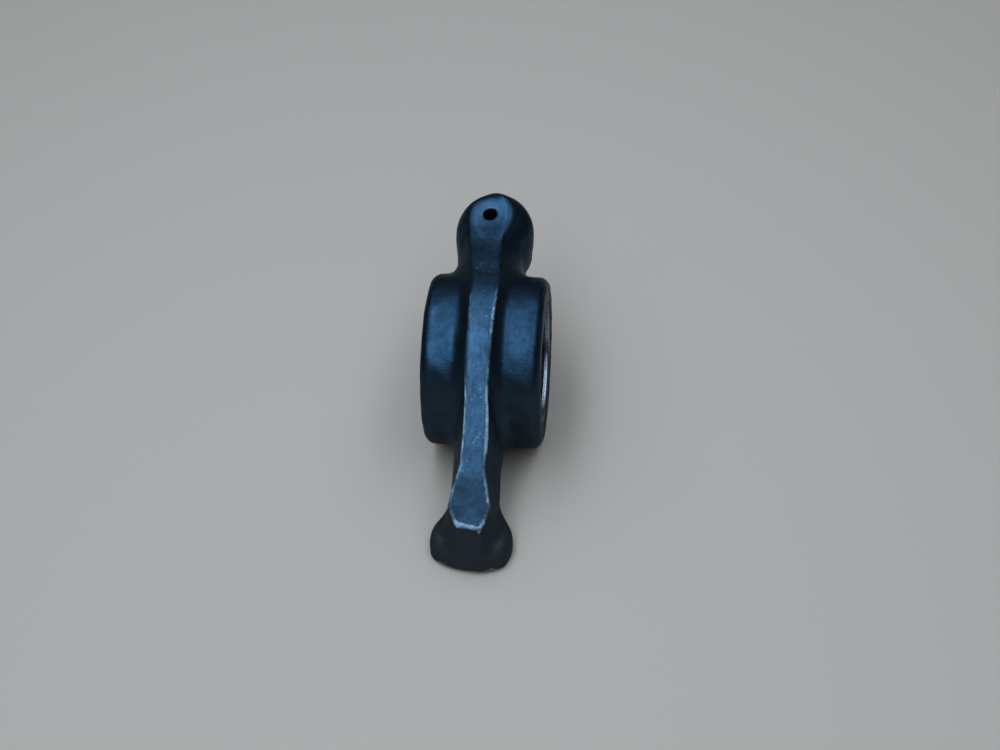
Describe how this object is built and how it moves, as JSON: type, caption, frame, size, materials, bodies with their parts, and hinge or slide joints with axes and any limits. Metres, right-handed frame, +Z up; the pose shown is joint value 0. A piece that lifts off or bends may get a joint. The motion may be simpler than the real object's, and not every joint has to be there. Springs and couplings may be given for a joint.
{
  "type": "needle bearing rocker arm",
  "caption": "Forged steel rocker arm with drawn-cup needle roller bearings pressed into its barrel, a round valve pad and a ball-socket push-rod head with an oil hole.",
  "frame": {"origin": "middle of the shaft bore, halfway along the barrel", "axes": "+X along the rocker shaft, +Y to the push-rod head, +Z up; the arm stands on its barrel and its valve pad"},
  "size_m": [0.0254, 0.0825, 0.0418],
  "materials": {
    "forged_steel": "blue-black oxide skin of a drop forging, worn bright along the rib's edges",
    "cup_steel": "drawn and hardened bearing steel, polished lips",
    "cage_steel": "dull phosphated sheet steel",
    "needle_steel": "ground and polished bearing steel"
  },
  "bodies": {
    "arm": {"rocker_arm": "forged_steel", "left_cup": "cup_steel", "right_cup": "cup_steel"},
    "left_cage": {"left_cage": "cage_steel"},
    "right_cage": {"right_cage": "cage_steel"},
    "left_needle_1": {"left_needle_1": "needle_steel"},
    "left_needle_2": {"left_needle_2": "needle_steel"},
    "left_needle_3": {"left_needle_3": "needle_steel"},
    "left_needle_4": {"left_needle_4": "needle_steel"},
    "left_needle_5": {"left_needle_5": "needle_steel"},
    "left_needle_6": {"left_needle_6": "needle_steel"},
    "left_needle_7": {"left_needle_7": "needle_steel"},
    "left_needle_8": {"left_needle_8": "needle_steel"},
    "left_needle_9": {"left_needle_9": "needle_steel"},
    "left_needle_10": {"left_needle_10": "needle_steel"},
    "left_needle_11": {"left_needle_11": "needle_steel"},
    "left_needle_12": {"left_needle_12": "needle_steel"},
    "left_needle_13": {"left_needle_13": "needle_steel"},
    "left_needle_14": {"left_needle_14": "needle_steel"},
    "left_needle_15": {"left_needle_15": "needle_steel"},
    "left_needle_16": {"left_needle_16": "needle_steel"},
    "left_needle_17": {"left_needle_17": "needle_steel"},
    "left_needle_18": {"left_needle_18": "needle_steel"},
    "left_needle_19": {"left_needle_19": "needle_steel"},
    "left_needle_20": {"left_needle_20": "needle_steel"},
    "right_needle_1": {"right_needle_1": "needle_steel"},
    "right_needle_2": {"right_needle_2": "needle_steel"},
    "right_needle_3": {"right_needle_3": "needle_steel"},
    "right_needle_4": {"right_needle_4": "needle_steel"},
    "right_needle_5": {"right_needle_5": "needle_steel"},
    "right_needle_6": {"right_needle_6": "needle_steel"},
    "right_needle_7": {"right_needle_7": "needle_steel"},
    "right_needle_8": {"right_needle_8": "needle_steel"},
    "right_needle_9": {"right_needle_9": "needle_steel"},
    "right_needle_10": {"right_needle_10": "needle_steel"},
    "right_needle_11": {"right_needle_11": "needle_steel"},
    "right_needle_12": {"right_needle_12": "needle_steel"},
    "right_needle_13": {"right_needle_13": "needle_steel"},
    "right_needle_14": {"right_needle_14": "needle_steel"},
    "right_needle_15": {"right_needle_15": "needle_steel"},
    "right_needle_16": {"right_needle_16": "needle_steel"},
    "right_needle_17": {"right_needle_17": "needle_steel"},
    "right_needle_18": {"right_needle_18": "needle_steel"},
    "right_needle_19": {"right_needle_19": "needle_steel"},
    "right_needle_20": {"right_needle_20": "needle_steel"}
  },
  "joints": [
    {"name": "left_cage_spin", "type": "hinge", "parent": "arm", "child": "left_cage", "pos_m": [-0.00675, 0, 0], "axis": [1, 0, 0], "continuous": true},
    {"name": "right_cage_spin", "type": "hinge", "parent": "arm", "child": "right_cage", "pos_m": [0.00675, 0, 0], "axis": [1, 0, 0], "continuous": true},
    {"name": "left_needle_1_spin", "type": "hinge", "parent": "left_cage", "child": "left_needle_1", "pos_m": [-0.00675, 0.00341, -0.01048], "axis": [1, 0, 0], "continuous": true},
    {"name": "left_needle_2_spin", "type": "hinge", "parent": "left_cage", "child": "left_needle_2", "pos_m": [-0.00675, 0.00648, -0.00892], "axis": [1, 0, 0], "continuous": true},
    {"name": "left_needle_3_spin", "type": "hinge", "parent": "left_cage", "child": "left_needle_3", "pos_m": [-0.00675, 0.00892, -0.00648], "axis": [1, 0, 0], "continuous": true},
    {"name": "left_needle_4_spin", "type": "hinge", "parent": "left_cage", "child": "left_needle_4", "pos_m": [-0.00675, 0.01048, -0.00341], "axis": [1, 0, 0], "continuous": true},
    {"name": "left_needle_5_spin", "type": "hinge", "parent": "left_cage", "child": "left_needle_5", "pos_m": [-0.00675, 0.01102, 0], "axis": [1, 0, 0], "continuous": true},
    {"name": "left_needle_6_spin", "type": "hinge", "parent": "left_cage", "child": "left_needle_6", "pos_m": [-0.00675, 0.01048, 0.00341], "axis": [1, 0, 0], "continuous": true},
    {"name": "left_needle_7_spin", "type": "hinge", "parent": "left_cage", "child": "left_needle_7", "pos_m": [-0.00675, 0.00892, 0.00648], "axis": [1, 0, 0], "continuous": true},
    {"name": "left_needle_8_spin", "type": "hinge", "parent": "left_cage", "child": "left_needle_8", "pos_m": [-0.00675, 0.00648, 0.00892], "axis": [1, 0, 0], "continuous": true},
    {"name": "left_needle_9_spin", "type": "hinge", "parent": "left_cage", "child": "left_needle_9", "pos_m": [-0.00675, 0.00341, 0.01048], "axis": [1, 0, 0], "continuous": true},
    {"name": "left_needle_10_spin", "type": "hinge", "parent": "left_cage", "child": "left_needle_10", "pos_m": [-0.00675, 0, 0.01102], "axis": [1, 0, 0], "continuous": true},
    {"name": "left_needle_11_spin", "type": "hinge", "parent": "left_cage", "child": "left_needle_11", "pos_m": [-0.00675, -0.00341, 0.01048], "axis": [1, 0, 0], "continuous": true},
    {"name": "left_needle_12_spin", "type": "hinge", "parent": "left_cage", "child": "left_needle_12", "pos_m": [-0.00675, -0.00648, 0.00892], "axis": [1, 0, 0], "continuous": true},
    {"name": "left_needle_13_spin", "type": "hinge", "parent": "left_cage", "child": "left_needle_13", "pos_m": [-0.00675, -0.00892, 0.00648], "axis": [1, 0, 0], "continuous": true},
    {"name": "left_needle_14_spin", "type": "hinge", "parent": "left_cage", "child": "left_needle_14", "pos_m": [-0.00675, -0.01048, 0.00341], "axis": [1, 0, 0], "continuous": true},
    {"name": "left_needle_15_spin", "type": "hinge", "parent": "left_cage", "child": "left_needle_15", "pos_m": [-0.00675, -0.01102, 0], "axis": [1, 0, 0], "continuous": true},
    {"name": "left_needle_16_spin", "type": "hinge", "parent": "left_cage", "child": "left_needle_16", "pos_m": [-0.00675, -0.01048, -0.00341], "axis": [1, 0, 0], "continuous": true},
    {"name": "left_needle_17_spin", "type": "hinge", "parent": "left_cage", "child": "left_needle_17", "pos_m": [-0.00675, -0.00892, -0.00648], "axis": [1, 0, 0], "continuous": true},
    {"name": "left_needle_18_spin", "type": "hinge", "parent": "left_cage", "child": "left_needle_18", "pos_m": [-0.00675, -0.00648, -0.00892], "axis": [1, 0, 0], "continuous": true},
    {"name": "left_needle_19_spin", "type": "hinge", "parent": "left_cage", "child": "left_needle_19", "pos_m": [-0.00675, -0.00341, -0.01048], "axis": [1, 0, 0], "continuous": true},
    {"name": "left_needle_20_spin", "type": "hinge", "parent": "left_cage", "child": "left_needle_20", "pos_m": [-0.00675, 0, -0.01102], "axis": [1, 0, 0], "continuous": true},
    {"name": "right_needle_1_spin", "type": "hinge", "parent": "right_cage", "child": "right_needle_1", "pos_m": [0.00675, 0.00341, -0.01048], "axis": [1, 0, 0], "continuous": true},
    {"name": "right_needle_2_spin", "type": "hinge", "parent": "right_cage", "child": "right_needle_2", "pos_m": [0.00675, 0.00648, -0.00892], "axis": [1, 0, 0], "continuous": true},
    {"name": "right_needle_3_spin", "type": "hinge", "parent": "right_cage", "child": "right_needle_3", "pos_m": [0.00675, 0.00892, -0.00648], "axis": [1, 0, 0], "continuous": true},
    {"name": "right_needle_4_spin", "type": "hinge", "parent": "right_cage", "child": "right_needle_4", "pos_m": [0.00675, 0.01048, -0.00341], "axis": [1, 0, 0], "continuous": true},
    {"name": "right_needle_5_spin", "type": "hinge", "parent": "right_cage", "child": "right_needle_5", "pos_m": [0.00675, 0.01102, 0], "axis": [1, 0, 0], "continuous": true},
    {"name": "right_needle_6_spin", "type": "hinge", "parent": "right_cage", "child": "right_needle_6", "pos_m": [0.00675, 0.01048, 0.00341], "axis": [1, 0, 0], "continuous": true},
    {"name": "right_needle_7_spin", "type": "hinge", "parent": "right_cage", "child": "right_needle_7", "pos_m": [0.00675, 0.00892, 0.00648], "axis": [1, 0, 0], "continuous": true},
    {"name": "right_needle_8_spin", "type": "hinge", "parent": "right_cage", "child": "right_needle_8", "pos_m": [0.00675, 0.00648, 0.00892], "axis": [1, 0, 0], "continuous": true},
    {"name": "right_needle_9_spin", "type": "hinge", "parent": "right_cage", "child": "right_needle_9", "pos_m": [0.00675, 0.00341, 0.01048], "axis": [1, 0, 0], "continuous": true},
    {"name": "right_needle_10_spin", "type": "hinge", "parent": "right_cage", "child": "right_needle_10", "pos_m": [0.00675, 0, 0.01102], "axis": [1, 0, 0], "continuous": true},
    {"name": "right_needle_11_spin", "type": "hinge", "parent": "right_cage", "child": "right_needle_11", "pos_m": [0.00675, -0.00341, 0.01048], "axis": [1, 0, 0], "continuous": true},
    {"name": "right_needle_12_spin", "type": "hinge", "parent": "right_cage", "child": "right_needle_12", "pos_m": [0.00675, -0.00648, 0.00892], "axis": [1, 0, 0], "continuous": true},
    {"name": "right_needle_13_spin", "type": "hinge", "parent": "right_cage", "child": "right_needle_13", "pos_m": [0.00675, -0.00892, 0.00648], "axis": [1, 0, 0], "continuous": true},
    {"name": "right_needle_14_spin", "type": "hinge", "parent": "right_cage", "child": "right_needle_14", "pos_m": [0.00675, -0.01048, 0.00341], "axis": [1, 0, 0], "continuous": true},
    {"name": "right_needle_15_spin", "type": "hinge", "parent": "right_cage", "child": "right_needle_15", "pos_m": [0.00675, -0.01102, 0], "axis": [1, 0, 0], "continuous": true},
    {"name": "right_needle_16_spin", "type": "hinge", "parent": "right_cage", "child": "right_needle_16", "pos_m": [0.00675, -0.01048, -0.00341], "axis": [1, 0, 0], "continuous": true},
    {"name": "right_needle_17_spin", "type": "hinge", "parent": "right_cage", "child": "right_needle_17", "pos_m": [0.00675, -0.00892, -0.00648], "axis": [1, 0, 0], "continuous": true},
    {"name": "right_needle_18_spin", "type": "hinge", "parent": "right_cage", "child": "right_needle_18", "pos_m": [0.00675, -0.00648, -0.00892], "axis": [1, 0, 0], "continuous": true},
    {"name": "right_needle_19_spin", "type": "hinge", "parent": "right_cage", "child": "right_needle_19", "pos_m": [0.00675, -0.00341, -0.01048], "axis": [1, 0, 0], "continuous": true},
    {"name": "right_needle_20_spin", "type": "hinge", "parent": "right_cage", "child": "right_needle_20", "pos_m": [0.00675, 0, -0.01102], "axis": [1, 0, 0], "continuous": true}
  ],
  "couplings": [
    {"joint": "left_needle_1_spin", "follows": "left_cage_spin", "ratio": -12},
    {"joint": "left_needle_2_spin", "follows": "left_cage_spin", "ratio": -12},
    {"joint": "left_needle_3_spin", "follows": "left_cage_spin", "ratio": -12},
    {"joint": "left_needle_4_spin", "follows": "left_cage_spin", "ratio": -12},
    {"joint": "left_needle_5_spin", "follows": "left_cage_spin", "ratio": -12},
    {"joint": "left_needle_6_spin", "follows": "left_cage_spin", "ratio": -12},
    {"joint": "left_needle_7_spin", "follows": "left_cage_spin", "ratio": -12},
    {"joint": "left_needle_8_spin", "follows": "left_cage_spin", "ratio": -12},
    {"joint": "left_needle_9_spin", "follows": "left_cage_spin", "ratio": -12},
    {"joint": "left_needle_10_spin", "follows": "left_cage_spin", "ratio": -12},
    {"joint": "left_needle_11_spin", "follows": "left_cage_spin", "ratio": -12},
    {"joint": "left_needle_12_spin", "follows": "left_cage_spin", "ratio": -12},
    {"joint": "left_needle_13_spin", "follows": "left_cage_spin", "ratio": -12},
    {"joint": "left_needle_14_spin", "follows": "left_cage_spin", "ratio": -12},
    {"joint": "left_needle_15_spin", "follows": "left_cage_spin", "ratio": -12},
    {"joint": "left_needle_16_spin", "follows": "left_cage_spin", "ratio": -12},
    {"joint": "left_needle_17_spin", "follows": "left_cage_spin", "ratio": -12},
    {"joint": "left_needle_18_spin", "follows": "left_cage_spin", "ratio": -12},
    {"joint": "left_needle_19_spin", "follows": "left_cage_spin", "ratio": -12},
    {"joint": "left_needle_20_spin", "follows": "left_cage_spin", "ratio": -12},
    {"joint": "right_needle_1_spin", "follows": "right_cage_spin", "ratio": -12},
    {"joint": "right_needle_2_spin", "follows": "right_cage_spin", "ratio": -12},
    {"joint": "right_needle_3_spin", "follows": "right_cage_spin", "ratio": -12},
    {"joint": "right_needle_4_spin", "follows": "right_cage_spin", "ratio": -12},
    {"joint": "right_needle_5_spin", "follows": "right_cage_spin", "ratio": -12},
    {"joint": "right_needle_6_spin", "follows": "right_cage_spin", "ratio": -12},
    {"joint": "right_needle_7_spin", "follows": "right_cage_spin", "ratio": -12},
    {"joint": "right_needle_8_spin", "follows": "right_cage_spin", "ratio": -12},
    {"joint": "right_needle_9_spin", "follows": "right_cage_spin", "ratio": -12},
    {"joint": "right_needle_10_spin", "follows": "right_cage_spin", "ratio": -12},
    {"joint": "right_needle_11_spin", "follows": "right_cage_spin", "ratio": -12},
    {"joint": "right_needle_12_spin", "follows": "right_cage_spin", "ratio": -12},
    {"joint": "right_needle_13_spin", "follows": "right_cage_spin", "ratio": -12},
    {"joint": "right_needle_14_spin", "follows": "right_cage_spin", "ratio": -12},
    {"joint": "right_needle_15_spin", "follows": "right_cage_spin", "ratio": -12},
    {"joint": "right_needle_16_spin", "follows": "right_cage_spin", "ratio": -12},
    {"joint": "right_needle_17_spin", "follows": "right_cage_spin", "ratio": -12},
    {"joint": "right_needle_18_spin", "follows": "right_cage_spin", "ratio": -12},
    {"joint": "right_needle_19_spin", "follows": "right_cage_spin", "ratio": -12},
    {"joint": "right_needle_20_spin", "follows": "right_cage_spin", "ratio": -12}
  ]
}
